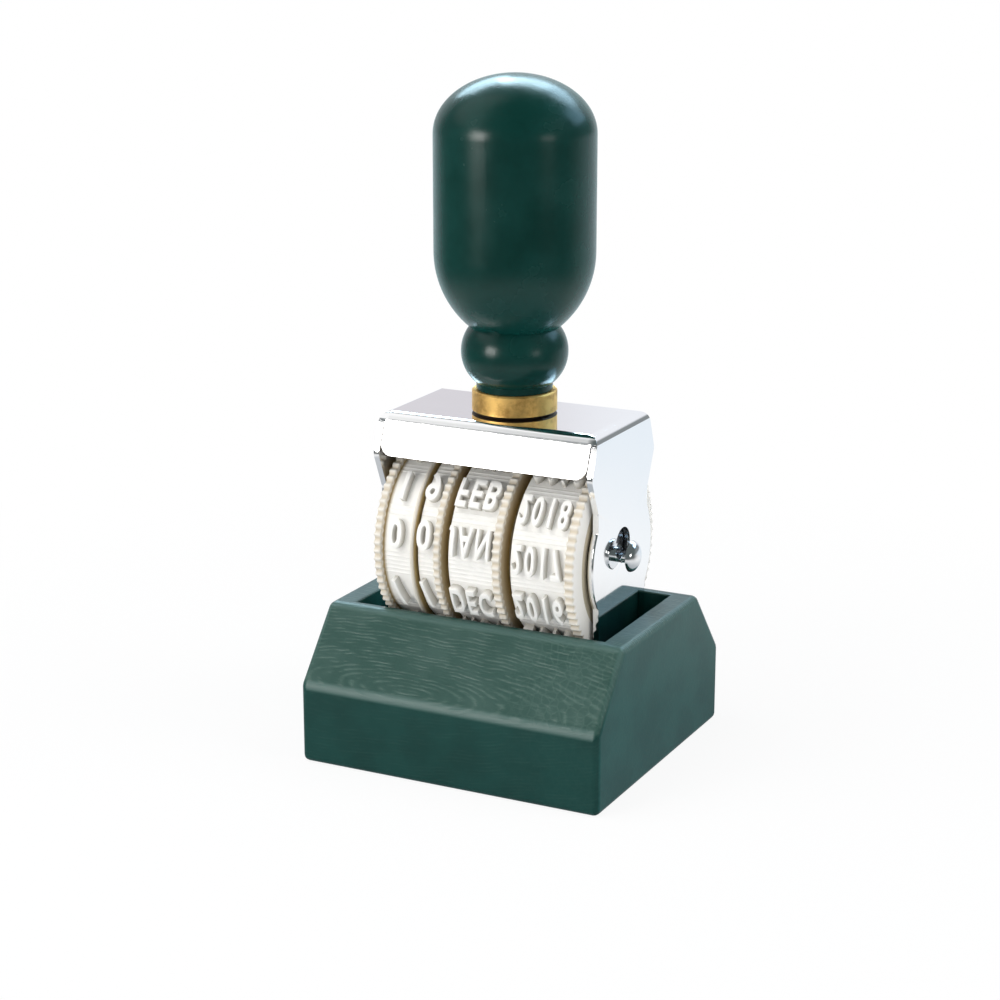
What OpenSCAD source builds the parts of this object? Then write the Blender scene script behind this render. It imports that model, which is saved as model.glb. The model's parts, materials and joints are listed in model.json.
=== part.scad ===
// Roller date stamp: a wooden handle on a folded sheet frame that carries four
// date wheels, standing in the pocket of a wooden stand.
// +X runs along the axle, the front faces -Y, +Z is up, and the origin is the
// middle of the stand's underside.

/* [Stand] */
// Width of the stand
stand_w = 44; // [42:0.5:60]
// Depth of the stand
stand_d = 40.7; // [38:0.1:56]
// Height of the stand
stand_h = 20.5; // [18:0.1:28]
// Height of the upright part of the front and back faces
stand_wall_h = 11.1; // [6:0.1:15]
// How far each slope leans in towards the top
stand_slope_in = 7.8; // [4:0.1:8.5]
// Rounding of the stand's edges
stand_edge_r = 0.4; // [0.3:0.1:1.4]
// Depth of the pocket
pocket_depth = 5.45; // [4.8:0.05:6.4]
// Gap between each side plate and the end of the pocket
pocket_end_gap = 2.35; // [1:0.05:3]
// Gap between the type and the front and back edges of the pocket
pocket_edge_gap = 0.22; // [0.2:0.02:0.6]
// Gap between the type and the floor of the pocket
rest_gap = 0.3; // [0.2:0.05:0.6]

/* [Date wheels] */
// Radius of the band's surface between the rows of type
band_r = 12.3; // [12:0.1:13]
// Height of the type above the band
type_relief = 1.2; // [0.9:0.05:1.4]
// Height of the rims above the band
rim_rise = 0.9; // [0.6:0.05:1.1]
// Depth of the teeth in a rim
tooth_h = 0.3; // [0.2:0.05:0.5]
// Number of teeth round a rim
tooth_count = 72; // [40:1:90]
// Share of the tooth pitch that the tip of a tooth takes
tooth_tip_share = 0.4; // [0.25:0.05:0.5]
// Number of rows of type on a band
row_count = 12; // [8:1:12]
// Extra angle at the joint of the band, between its last row and its first
joint_gap = 8; // [0:1:20]
// Height of a row of type along the band
row_h = 4.2; // [2.5:0.1:4.5]
// Bare strip between a row of type and the rim on its right
row_margin = 0.3; // [0.1:0.05:0.4]
// How deep the type is rooted in the band
type_root = 0.6; // [0.3:0.1:1]
// Width of the day tens wheel
tens_w = 5.95; // [5.5:0.05:8]
// Width of the day units wheel
units_w = 3.6; // [3.4:0.1:7]
// Width of the month wheel
month_w = 7.95; // [7.4:0.05:9]
// Width of the year wheel
year_w = 9.35; // [9:0.05:10]
// Width of the toothed rim of the day tens wheel
tens_rim_w = 1.1; // [0.9:0.1:2]
// Width of the toothed rim of the day units wheel
units_rim_w = 1; // [0.9:0.1:1.2]
// Width of the toothed rim of the month wheel
month_rim_w = 1.2; // [0.9:0.1:1.4]
// Width of the toothed rim of the year wheel
year_rim_w = 1.3; // [0.9:0.1:1.5]
// Width of the plain wall on the right of the day tens wheel
tens_wall_w = 0.4; // [0.3:0.1:1.2]
// Width of the type on the day tens wheel
tens_type_w = 2; // [1.6:0.1:3]
// Width of the type on the day units wheel
units_type_w = 2; // [1.6:0.1:2.2]
// Width of the type on the month wheel
month_type_w = 6; // [4.8:0.1:6.2]
// Width of the type on the year wheel
year_type_w = 7.1; // [5.6:0.1:7.2]
// Gap between the left side plate and the day tens wheel
left_gap = 0.7; // [0.4:0.05:1]
// Gap between the year wheel and the right side plate
right_gap = 0.45; // [0.4:0.05:1]
// Gap between the day tens and day units wheels
day_gap = 0.35; // [0.3:0.05:0.8]
// Gap between the day units and month wheels
month_gap = 0.95; // [0.5:0.05:1.2]
// Gap between the month and year wheels
year_gap = 1.2; // [0.5:0.05:1.4]
// Radius of the cores that carry the bands
core_r = 10.2; // [8:0.1:11]
// Wall of a core under its band
core_wall = 1.4; // [1:0.1:2]
// Thickness of a core's web
web_t = 1.6; // [1:0.1:3]
// Radius of a core's hub
hub_r = 4.4; // [3.5:0.1:6]
// Clearance between a core and its band
band_fit = 0.02; // [0.01:0.01:0.05]

/* [Axle] */
// Radius of the axle between the side plates
axle_r = 1.5; // [1.3:0.05:1.8]
// Radius of the necks that sit in the side plates
neck_r = 1; // [0.8:0.05:1.2]
// Radius of the domed heads
head_r = 2.1; // [1.6:0.05:2.3]
// Thickness of the domed heads
head_t = 1.3; // [0.8:0.05:1.6]
// Length of neck between a side plate and a head
neck_out = 1.15; // [0.3:0.05:1.4]
// Clearance of everything that turns on the axle or sits on a neck
axle_fit = 0.05; // [0.02:0.01:0.09]
// Radius of the spacers
spacer_r = 4; // [3:0.1:6]
// Play between a spacer and the wheels or plates beside it
side_play = 0.1; // [0.05:0.01:0.12]

/* [Frame] */
// Thickness of the sheet
sheet_t = 0.8; // [0.6:0.05:1]
// Outer radius of the bends
bend_r = 1.5; // [1.1:0.05:1.8]
// Depth of the frame over the lower edges of its skirts
frame_d = 20.2; // [19:0.1:21.5]
// Lean of the skirts out of the upright
skirt_lean = 20; // [12:1:24]
// Height of the skirts, from the top of the frame
skirt_h = 5.5; // [4.5:0.1:6.2]
// Rounding of the skirts' lower corners
skirt_corner_r = 1.6; // [0.5:0.1:2]
// Open seam between a skirt's end and the side plate
seam_gap = 0.2; // [0.15:0.05:0.5]
// Free height between the type and the top plate
head_room = 3.7; // [3:0.05:4.4]
// Depth of the side plates at their waist
waist_d = 15.8; // [14.8:0.1:16.6]
// Height of the waist above the axle
waist_rise = 7.5; // [6.8:0.1:8.5]
// Radius of the side plates' lobe round the axle
lobe_r = 9.4; // [8.6:0.1:10]
// Depth of the side plates at their lower end
plate_foot_d = 14.6; // [11:0.1:15.6]
// Distance from the axle to the lower end of the side plates
plate_drop = 11.7; // [10.5:0.1:12.6]
// Rounding of the side plates' lower corners
plate_corner_r = 1.5; // [0.5:0.1:3]
// Clearance round the head where the axle is put in
entry_fit = 0.25; // [0.1:0.05:0.4]
// Distance from the axle up to the middle of the keyhole's round end
entry_rise = 1.5; // [1.3:0.05:1.8]

/* [Spring and screw] */
// Thickness of the leaf spring
leaf_t = 0.25; // [0.2:0.05:0.35]
// Reach of the leaf in front of the screw
leaf_front = 4.5; // [3.8:0.1:6]
// Gap between the leaf's ends and the side plates
leaf_end_gap = 0.5; // [0.3:0.05:1]
// Bend radius of the spring's fingers, at mid thickness
finger_r = 3; // [2.6:0.1:3.4]
// Gap between the fingers and the back skirt
finger_wall_gap = 0.4; // [0.2:0.05:0.6]
// Gap between a finger's tip and the teeth
finger_gap = 0.2; // [0.15:0.05:0.3]
// Bare rim at each side of a finger
finger_margin = 0.2; // [0.15:0.05:0.25]
// Radius of the screw's shank
screw_r = 1.5; // [1.2:0.1:1.9]
// Clearance of the screw in the plate, spring and washer
screw_hole_fit = 0.15; // [0.1:0.05:0.3]
// Clearance of the screw in the handle
screw_grip_fit = 0.02; // [0.01:0.01:0.05]
// Depth of the screw in the handle
screw_reach = 18; // [10:1:25]
// Extra depth of the hole past the screw's end
screw_end_gap = 1; // [0.5:0.5:3]
// Radius of the screw's head
screw_head_r = 2.8; // [2.4:0.1:3.3]
// Thickness of the screw's head
screw_head_t = 1.1; // [0.9:0.05:1.3]
// Width of the slot in the screw's head
slot_w = 0.7; // [0.5:0.1:1]
// Depth of the slot in the screw's head
slot_depth = 0.5; // [0.3:0.1:0.7]
// Radius of the washer under the screw's head
washer_r = 3.6; // [3.3:0.1:4.2]
// Thickness of that washer
washer_t = 0.35; // [0.25:0.05:0.5]

/* [Handle] */
// Outer radius of the ferrule
ferrule_r = 5.7; // [5.5:0.1:6]
// Wall of the ferrule
ferrule_wall = 0.7; // [0.5:0.1:1]
// Height of the ferrule
ferrule_h = 3.1; // [2:0.1:5]
// Chamfer on the ferrule's outer edges
ferrule_chamfer = 0.2; // [0.1:0.05:0.4]
// Clearance between the ferrule and the handle's tenon
tenon_fit = 0.05; // [0.02:0.01:0.1]
// Radius of the handle's foot above the ferrule
foot_r = 5.1; // [5.05:0.05:5.5]
// Height of the foot
foot_h = 0.9; // [0.6:0.1:2.5]
// Radius of the bead
bead_r = 7.15; // [6.6:0.05:7.6]
// Radius of the bead's rounding
bead_round = 5.4; // [5:0.1:8]
// Radius of the neck above the bead
neck_groove_r = 6; // [5.6:0.1:6.4]
// Radius of the barrel
barrel_r = 10.7; // [9.5:0.1:12]
// Radius of the rounding from the neck to the barrel
shoulder_round = 13; // [9:0.1:16]
// Length of the straight barrel
barrel_h = 15.3; // [8:0.1:30]
// Height of the domed end
dome_h = 7.8; // [4:0.1:11]

/* [Dates shown] */
// Angle of the day tens wheel's shown row above the front
tens_angle = 12; // [0:0.5:30]
// Angle of the day units wheel's shown row above the front
units_angle = 13.5; // [0:0.5:30]
// Angle of the month wheel's shown row above the front
month_angle = 12.5; // [0:0.5:30]
// Angle of the year wheel's shown row above the front
year_angle = 7; // [0:0.5:30]
// Number of rows on the year wheel before the shown one
year_rows_before = 4; // [0:1:7]

/* [Hidden] */
$fn = 96;
// Overshoot of cuts past the faces they open
cut = 1;
paint_green = [0.06, 0.20, 0.17];
plated = [0.85, 0.87, 0.88];
brass = [0.80, 0.62, 0.30];
steel = [0.62, 0.64, 0.66];
core_white = [0.90, 0.88, 0.80];
rubber_ivory = [0.93, 0.90, 0.78];

// Radii of the wheels, from the axle outwards
type_r = band_r + type_relief;
rim_r = band_r + rim_rise;
root_r = rim_r - tooth_h;
bore_r = axle_r + axle_fit;

// Heights, from the pocket's floor up through the wheels to the top plate
floor_z = stand_h - pocket_depth;
axle_z = floor_z + rest_gap + type_r;
plate_under_z = axle_z + type_r + head_room;
frame_top = plate_under_z + sheet_t;
skirt_bottom = frame_top - skirt_h;
waist_z = axle_z + waist_rise;
plate_bottom = axle_z - plate_drop;

// Outer face of the leaning skirts at a height, and the sheet measured level through them
function skirt_y(z) = frame_d / 2 - (z - skirt_bottom) * tan(skirt_lean);
skirt_through = sheet_t / cos(skirt_lean);

// Widths, along the axle from left to right
wheel_w = [tens_w, units_w, month_w, year_w];
rim_w = [tens_rim_w, units_rim_w, month_rim_w, year_rim_w];
type_w = [tens_type_w, units_type_w, month_type_w, year_type_w];
gap_w = [left_gap, day_gap, month_gap, year_gap, right_gap];
wheel_count = len(wheel_w);
function sum_before(list, i) = i == 0 ? 0 : sum_before(list, i - 1) + list[i - 1];
inner_w = sum_before(wheel_w, wheel_count) + sum_before(gap_w, wheel_count + 1);
frame_w = inner_w + 2 * sheet_t;
function wheel_x(i) = -inner_w / 2 + sum_before(wheel_w, i) + sum_before(gap_w, i + 1);
function rim_x(i) = i == 0 ? wheel_x(i) : wheel_x(i) + wheel_w[i] - rim_w[i];
function spacer_x(i) = -inner_w / 2 + sum_before(wheel_w, i) + sum_before(gap_w, i) + side_play;

// Angle between rows, and of each wheel's first row above the front
row_pitch = (360 - joint_gap) / row_count;
first_row = [tens_angle, units_angle, month_angle, year_angle - year_rows_before * row_pitch];

// The pocket lets the round wheels pass its front and back edges
pocket_w = frame_w + 2 * pocket_end_gap;
pocket_d = 2 * sqrt(pow(type_r + pocket_edge_gap, 2) - pow(axle_z - stand_h, 2));

// Heights of the handle's turned profile
ferrule_top = frame_top + ferrule_h;
tenon_r = ferrule_r - ferrule_wall - tenon_fit;
foot_top = ferrule_top + foot_h;
bead_low = sqrt(pow(bead_round, 2) - pow(bead_round - bead_r + foot_r, 2));
bead_high = sqrt(pow(bead_round, 2) - pow(bead_round - bead_r + neck_groove_r, 2));
bead_z = foot_top + bead_low;
neck_z = bead_z + bead_high;
shoulder_h = sqrt(pow(shoulder_round, 2) - pow(shoulder_round - barrel_r + neck_groove_r, 2));
barrel_z = neck_z + shoulder_h;
dome_z = barrel_z + barrel_h;

// The spring's fingers roll down from the leaf until they meet the rims
finger_w = min(rim_w) - 2 * finger_margin;
leaf_z = plate_under_z - leaf_t / 2;
roll_z = leaf_z - finger_r;
roll_y = skirt_y(roll_z) - skirt_through - (finger_wall_gap + leaf_t / 2 + finger_r) / cos(skirt_lean);
roll_to_axle = norm([roll_y, roll_z - axle_z]);
tip_distance = rim_r + finger_gap + leaf_t / 2;
tip_spread = acos((pow(finger_r, 2) + pow(roll_to_axle, 2) - pow(tip_distance, 2))
    / (2 * finger_r * roll_to_axle));
finger_turn = 180 + atan2(roll_y, roll_z - axle_z) - tip_spread;

// Points on an arc of a circle or an ellipse
function arc(centre, rx, ry, from, to, steps) =
    [for (i = [0:steps])
        let (a = from + (to - from) * i / steps)
        centre + [rx * cos(a), ry * sin(a)]];

// The arc that rounds one corner of an outline
function rounded_corner(before, at, after, r, steps) =
    let (
        u = (before - at) / norm(before - at),
        v = (after - at) / norm(after - at),
        half = acos(u * v) / 2,
        centre = at + (u + v) / norm(u + v) * r / sin(half),
        first = at + u * r / tan(half) - centre,
        last = at + v * r / tan(half) - centre,
        from = atan2(first.y, first.x),
        turn = atan2(cross(first, last), first * last)
    )
    arc(centre, r, r, from, from + turn, steps);

// An outline with every corner rounded, to one radius or to a list of them
function rounded_outline(corners, r, steps = 5) =
    let (n = len(corners))
    [for (i = [0:n - 1])
        each rounded_corner(corners[(i + n - 1) % n], corners[i], corners[(i + 1) % n],
            is_list(r) ? r[i] : r, steps)];

// An outline given by its right half from the top down, closed by the same half mirrored
function both_sides(right) =
    let (n = len(right))
    [each right, for (i = [1:n]) [-right[n - i].x, right[n - i].y]];
function list_and_back(list) =
    let (n = len(list))
    [each list, for (i = [1:n]) list[n - i]];

// Extrudes an outline drawn in X and Z along Y, both ways from the middle
module along_y(length) {
    rotate([90, 0, 0]) linear_extrude(length, center = true) children();
}

// Extrudes an outline drawn in Y and Z along X, both ways from the middle
module along_x(length) {
    rotate([90, 0, 90]) linear_extrude(length, center = true) children();
}

// Lays something built upwards along the axle, starting at x
module on_axle(x) {
    translate([x, 0, axle_z]) rotate([0, 90, 0]) children();
}

// Outline of a side fold: a slab with its two upper corners rounded
module round_shouldered(half, bottom, top, r) {
    translate([-half, bottom]) square([2 * half, top - r - bottom]);
    translate([r - half, bottom]) square([2 * (half - r), top - bottom]);
    for (side = [-1, 1]) translate([side * (half - r), top - r]) circle(r);
}

// Section of the folded sheet: a top with a leg down each side
module folded_section(half, bottom) {
    difference() {
        round_shouldered(half, bottom, frame_top, bend_r);
        round_shouldered(half - sheet_t, bottom - cut, plate_under_z, bend_r - sheet_t);
    }
}

// Outline of the leaning skirts under a flat top, or of the space inside them
module flared_outline(inset, top, r) {
    bottom = skirt_bottom - cut;
    edge = [skirt_y(top) - inset, top];
    foot = [skirt_y(bottom) - inset, bottom];
    polygon(both_sides([each rounded_corner([0, top], edge, foot, r, 8), foot]));
}

// Section of the sheet over the skirts: a top with a leaning leg at the front and the back
module flared_section() {
    difference() {
        flared_outline(0, frame_top, bend_r);
        intersection() {
            flared_outline(skirt_through, plate_under_z, bend_r - sheet_t);
            translate([-frame_d, skirt_bottom - cut]) square([2 * frame_d, skirt_h + cut - sheet_t]);
        }
    }
}

// Outline of a side plate, seen along the axle: it follows the skirts down, then draws
// in to a waist above the lobe round the axle
module plate_outline() {
    translate([0, axle_z]) circle(lobe_r);
    polygon(rounded_outline(both_sides([
        [skirt_y(frame_top), frame_top],
        [frame_d / 2, skirt_bottom],
        [waist_d / 2, waist_z],
        [waist_d / 2, axle_z],
        [plate_foot_d / 2, plate_bottom]
    ]), list_and_back([bend_r, plate_corner_r, plate_corner_r, plate_corner_r, plate_corner_r])));
}

// Outline of a skirt, seen from the front
module skirt_outline() {
    half = inner_w / 2 - seam_gap;
    polygon(rounded_outline([
        [-half, skirt_bottom],
        [half, skirt_bottom],
        [half, frame_top + 2 * skirt_corner_r],
        [-half, frame_top + 2 * skirt_corner_r]
    ], skirt_corner_r));
}

module stand_block() {
    half_d = stand_d / 2;
    top_half_d = half_d - stand_slope_in;
    half_w = stand_w / 2;
    color(paint_green)
    difference() {
        intersection() {
            along_x(stand_w)
                polygon(rounded_outline([
                    [-half_d, 0],
                    [half_d, 0],
                    [half_d, stand_wall_h],
                    [top_half_d, stand_h],
                    [-top_half_d, stand_h],
                    [-half_d, stand_wall_h]
                ], stand_edge_r));
            along_y(stand_d)
                polygon(rounded_outline([
                    [-half_w, 0],
                    [half_w, 0],
                    [half_w, stand_h],
                    [-half_w, stand_h]
                ], stand_edge_r));
        }
        translate([-pocket_w / 2, -pocket_d / 2, floor_z])
            cube([pocket_w, pocket_d, pocket_depth + cut]);
    }
}

module frame_saddle() {
    color(plated)
    difference() {
        union() {
            intersection() {
                along_y(2 * lobe_r + frame_d) folded_section(frame_w / 2, plate_bottom);
                along_x(frame_w + cut) plate_outline();
            }
            intersection() {
                along_x(inner_w) flared_section();
                along_y(frame_d + cut) skirt_outline();
            }
        }
        on_axle(-frame_w / 2 - cut) {
            cylinder(frame_w + 2 * cut, r = neck_r + axle_fit);
            translate([-entry_rise, 0, 0]) cylinder(frame_w + 2 * cut, r = head_r + entry_fit);
        }
        translate([0, 0, plate_under_z - cut]) cylinder(sheet_t + 2 * cut, r = screw_r + screw_hole_fit);
    }
}

module ferrule() {
    inner = ferrule_r - ferrule_wall;
    color(brass)
    translate([0, 0, frame_top])
    rotate_extrude()
        polygon([
            [inner, 0],
            [ferrule_r - ferrule_chamfer, 0],
            [ferrule_r, ferrule_chamfer],
            [ferrule_r, ferrule_h - ferrule_chamfer],
            [ferrule_r - ferrule_chamfer, ferrule_h],
            [inner, ferrule_h]
        ]);
}

module handle() {
    bead_centre = [bead_r - bead_round, bead_z];
    shoulder_centre = [barrel_r - shoulder_round, barrel_z];
    color(paint_green)
    difference() {
        rotate_extrude()
            polygon([
                [0, frame_top],
                [tenon_r, frame_top],
                [tenon_r, ferrule_top],
                [foot_r, ferrule_top],
                each arc(bead_centre, bead_round, bead_round,
                    -asin(bead_low / bead_round), asin(bead_high / bead_round), 14),
                each arc(shoulder_centre, shoulder_round, shoulder_round,
                    -asin(shoulder_h / shoulder_round), 0, 14),
                each arc([0, dome_z], barrel_r, dome_h, 0, 90, 18)
            ]);
        translate([0, 0, frame_top - cut])
            cylinder(screw_reach + screw_end_gap + cut, r = screw_r + screw_grip_fit);
    }
}

module handle_screw() {
    head_top = plate_under_z - leaf_t - washer_t;
    color(steel)
    difference() {
        union() {
            translate([0, 0, head_top - screw_head_t]) cylinder(screw_head_t, r = screw_head_r);
            translate([0, 0, head_top]) cylinder(frame_top + screw_reach - head_top, r = screw_r);
        }
        translate([-screw_head_r - cut, -slot_w / 2, head_top - screw_head_t - cut])
            cube([2 * (screw_head_r + cut), slot_w, slot_depth + cut]);
    }
}

module screw_washer() {
    color(steel)
    translate([0, 0, plate_under_z - leaf_t - washer_t])
    difference() {
        cylinder(washer_t, r = washer_r);
        translate([0, 0, -cut]) cylinder(washer_t + 2 * cut, r = screw_r + screw_hole_fit);
    }
}

// One finger of the spring, drawn about the middle of its roll: a strip that starts
// inside the leaf and rolls down behind it
module spring_finger(i) {
    reach = 2 * finger_r;
    sector = [
        [0, 0],
        [0, reach],
        each arc([0, 0], reach, reach, 90, 90 - finger_turn, 8)
    ];
    translate([rim_x(i) + rim_w[i] / 2, 0, 0])
    along_x(finger_w) {
        translate([-finger_r, finger_r - leaf_t / 2]) square([finger_r, leaf_t]);
        intersection() {
            difference() {
                circle(finger_r + leaf_t / 2);
                circle(finger_r - leaf_t / 2);
            }
            polygon(sector);
        }
    }
}

module wheel_spring() {
    leaf_w = inner_w - 2 * leaf_end_gap;
    leaf_d = leaf_front + roll_y;
    color(steel)
    difference() {
        translate([0, roll_y, roll_z]) {
            along_x(leaf_w) translate([-leaf_d, finger_r - leaf_t / 2]) square([leaf_d, leaf_t]);
            for (i = [0:wheel_count - 1]) spring_finger(i);
        }
        translate([0, 0, plate_under_z - leaf_t - cut])
            cylinder(leaf_t + 2 * cut, r = screw_r + screw_hole_fit);
    }
}

module wheel_axle() {
    shaft_half = inner_w / 2 - side_play;
    head_x = frame_w / 2 + neck_out;
    color(steel)
    on_axle(0)
    rotate_extrude()
        polygon([
            each arc([0, -head_x], head_r, head_t, 270, 360, 8),
            [neck_r, -head_x],
            [neck_r, -shaft_half],
            [axle_r, -shaft_half],
            [axle_r, shaft_half],
            [neck_r, shaft_half],
            [neck_r, head_x],
            each arc([0, head_x], head_r, head_t, 0, 90, 8)
        ]);
}

module spacer(i) {
    spacer_t = gap_w[i] - 2 * side_play;
    color(steel)
    on_axle(spacer_x(i))
    difference() {
        cylinder(spacer_t, r = spacer_r);
        translate([0, 0, -cut]) cylinder(spacer_t + 2 * cut, r = bore_r);
    }
}

module core(i) {
    recess = (wheel_w[i] - web_t) / 2;
    color(core_white)
    on_axle(wheel_x(i))
    difference() {
        cylinder(wheel_w[i], r = core_r);
        translate([0, 0, -cut]) cylinder(wheel_w[i] + 2 * cut, r = bore_r);
        for (z = [-cut, wheel_w[i] - recess])
            translate([0, 0, z])
            difference() {
                cylinder(recess + cut, r = core_r - core_wall);
                cylinder(recess + cut, r = hub_r);
            }
    }
}

// Outline of a toothed rim
module toothed_outline() {
    pitch = 360 / tooth_count;
    tip = pitch * tooth_tip_share / 2;
    root = pitch * (1 - tooth_tip_share) / 2;
    polygon([
        for (i = [0:tooth_count - 1])
            each [for (corner = [[root_r, -root], [rim_r, -tip], [rim_r, tip], [root_r, root]])
                let (a = i * pitch + corner[1])
                corner[0] * [cos(a), sin(a)]]
    ]);
}

// A rubber band: its ring, its toothed rim and its raised rows of type
module band(i) {
    w = wheel_w[i];
    rim_start = i == 0 ? 0 : w - rim_w[i];
    wall = i == 0 ? tens_wall_w : 0;
    type_start = i == 0
        ? (rim_w[i] + w - wall - type_w[i]) / 2
        : rim_start - row_margin - type_w[i];
    color(rubber_ivory)
    on_axle(wheel_x(i))
    difference() {
        union() {
            cylinder(w, r = band_r);
            translate([0, 0, rim_start]) linear_extrude(rim_w[i]) toothed_outline();
            if (wall > 0) translate([0, 0, w - wall]) cylinder(wall, r = rim_r);
            intersection() {
                translate([0, 0, type_start]) cylinder(type_w[i], r = type_r);
                for (row = [0:row_count - 1])
                    rotate(-90 - first_row[i] - row * row_pitch)
                    translate([band_r - type_root, -row_h / 2, type_start])
                        cube([type_relief + type_root + cut, row_h, type_w[i]]);
            }
        }
        translate([0, 0, -cut]) cylinder(w + 2 * cut, r = core_r + band_fit);
    }
}

stand_block();
frame_saddle();
ferrule();
handle();
handle_screw();
screw_washer();
wheel_spring();
wheel_axle();
spacer(0);  // spacer_left
spacer(1);  // spacer_tens_units
spacer(2);  // spacer_units_month
spacer(3);  // spacer_month_year
spacer(4);  // spacer_right
core(0);  // day_tens_core
core(1);  // day_units_core
core(2);  // month_core
core(3);  // year_core
band(0);  // day_tens_band
band(1);  // day_units_band
band(2);  // month_band
band(3);  // year_band
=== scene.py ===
"""Roller date stamp standing in its wooden stand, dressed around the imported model."""
import json
import math

import bmesh
import bpy
from mathutils import Matrix, Vector


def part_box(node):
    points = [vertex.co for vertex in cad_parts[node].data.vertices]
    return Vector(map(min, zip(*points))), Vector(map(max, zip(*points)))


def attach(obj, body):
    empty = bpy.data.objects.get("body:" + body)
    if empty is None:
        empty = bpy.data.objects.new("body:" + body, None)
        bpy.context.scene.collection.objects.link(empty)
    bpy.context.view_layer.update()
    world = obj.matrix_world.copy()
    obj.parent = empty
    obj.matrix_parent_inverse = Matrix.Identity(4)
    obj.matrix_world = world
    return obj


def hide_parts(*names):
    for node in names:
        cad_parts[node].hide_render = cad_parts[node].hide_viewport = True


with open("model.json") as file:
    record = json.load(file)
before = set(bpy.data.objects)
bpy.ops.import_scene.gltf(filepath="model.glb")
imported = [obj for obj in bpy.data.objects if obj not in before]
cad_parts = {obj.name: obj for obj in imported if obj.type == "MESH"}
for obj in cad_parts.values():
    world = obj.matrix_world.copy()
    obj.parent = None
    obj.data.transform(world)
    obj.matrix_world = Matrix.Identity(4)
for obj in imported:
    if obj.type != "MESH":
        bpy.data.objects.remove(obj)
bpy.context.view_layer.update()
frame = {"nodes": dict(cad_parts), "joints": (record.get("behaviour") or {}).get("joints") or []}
scene = bpy.context.scene
scene.view_settings.view_transform = "Standard"


# Camera: a long lens a little above the stand and to the right of its front, as the
# photograph was taken. Angles are in degrees.
CAMERA_LENS_MM = 86.4
CAMERA_SENSOR_MM = 36
CAMERA_AZIMUTH = 26.71
CAMERA_ELEVATION = 15.72
CAMERA_DISTANCE = 0.32526
CAMERA_TARGET = Vector((-0.00219, 0, 0.03414))
CAMERA_CLIP_START = 0.01


def towards(azimuth, elevation):
    """Direction at an azimuth from the front (-Y) round to +X, and an elevation, in degrees."""
    turn = math.radians(azimuth)
    rise = math.radians(elevation)
    level = math.cos(rise)
    return Vector((math.sin(turn) * level, -math.cos(turn) * level, math.sin(rise)))


def aim(thing, target, direction, distance):
    """Puts a camera or a lamp at a distance from a point, looking back at it."""
    thing.location = target + direction * distance
    thing.rotation_euler = (-direction).to_track_quat("-Z", "Y").to_euler()


camera_data = bpy.data.cameras.new("camera")
camera_data.lens = CAMERA_LENS_MM
camera_data.sensor_width = CAMERA_SENSOR_MM
camera_data.clip_start = CAMERA_CLIP_START
camera = bpy.data.objects.new("camera", camera_data)
scene.collection.objects.link(camera)
aim(camera, CAMERA_TARGET, towards(CAMERA_AZIMUTH, CAMERA_ELEVATION), CAMERA_DISTANCE)
scene.camera = camera


# Room: what the glossy surfaces mirror. It is pale behind the object and high on its left,
# darker all round, and darkest to the right of its front, so that the paint stays deep. Each
# reach is a pair of cosines of the angle from a wall's middle: where it starts and is full.
WHITE = (1, 1, 1, 1)
ROOM_AMBIENT = 0.42
ROOM_AMBIENT_COLOUR = (0.90, 0.95, 1, 1)
ROOM_LOW = (0.24, 0.26, 0.27, 1)
ROOM_DARK = (0.11, 0.13, 0.13, 1)
ROOM_BACK = (0.69, 0.67, 0.71, 1)
ROOM_BACK_RIGHT = (0.86, 0.88, 0.93, 1)
ROOM_BACK_SIDE = towards(-150, 10)
ROOM_BACK_REACH = (0.6, 0.85)
ROOM_ACROSS_SIDE = towards(CAMERA_AZIMUTH - 90, 0)
ROOM_ACROSS_REACH = (-0.06, 0.01)
ROOM_WALLS = {
    "high_behind": (towards(172, 34), (0.91, 0.975), ROOM_BACK_RIGHT),
    "high_left": (towards(-55, 55), (0.75, 0.92), WHITE),
    "front_right": (towards(55, 35), (0.25, 0.6), ROOM_DARK),
}


def add_node(tree, kind, inputs=None, **settings):
    """Adds a node, sets its properties, and gives its inputs values or links."""
    node = tree.nodes.new(kind)
    for name, value in settings.items():
        setattr(node, name, value)
    for name, value in (inputs or {}).items():
        if isinstance(value, bpy.types.NodeSocket):
            tree.links.new(value, node.inputs[name])
        else:
            node.inputs[name].default_value = value
    return node


def mix_colours(tree, share, first, second):
    """The socket of a colour between two, each a socket or four numbers."""
    mixed = add_node(tree, "ShaderNodeMix", {0: share, 6: first, 7: second}, data_type="RGBA")
    return mixed.outputs[2]


def math_node(tree, operation, first, second=0.0, third=0.0):
    """The socket of a sum, product or other function of numbers or sockets."""
    return add_node(tree, "ShaderNodeMath", {0: first, 1: second, 2: third}, operation=operation).outputs[0]


def map_range(tree, value, from_min, from_max, to_min=0.0, to_max=1.0):
    """The socket of a value moved smoothly from one range to another, and held at its ends."""
    ranges = {"Value": value, "From Min": from_min, "From Max": from_max, "To Min": to_min, "To Max": to_max}
    return add_node(tree, "ShaderNodeMapRange", ranges, interpolation_type="SMOOTHSTEP").outputs[0]


def facing_share(tree, vector, axis, reach):
    """The socket of how far a vector lies along an axis, from 0 to 1 over a reach of lengths."""
    along = add_node(tree, "ShaderNodeVectorMath", {0: vector, 1: axis}, operation="DOT_PRODUCT")
    return map_range(tree, along.outputs["Value"], *reach)


def seen_and_mirrored(tree):
    """Sockets that are 1 for camera rays, and 1 for glossy and transmission rays."""
    path = add_node(tree, "ShaderNodeLightPath")
    shiny = math_node(tree, "MAXIMUM", path.outputs["Is Glossy Ray"], path.outputs["Is Transmission Ray"])
    return path.outputs["Is Camera Ray"], shiny


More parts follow.
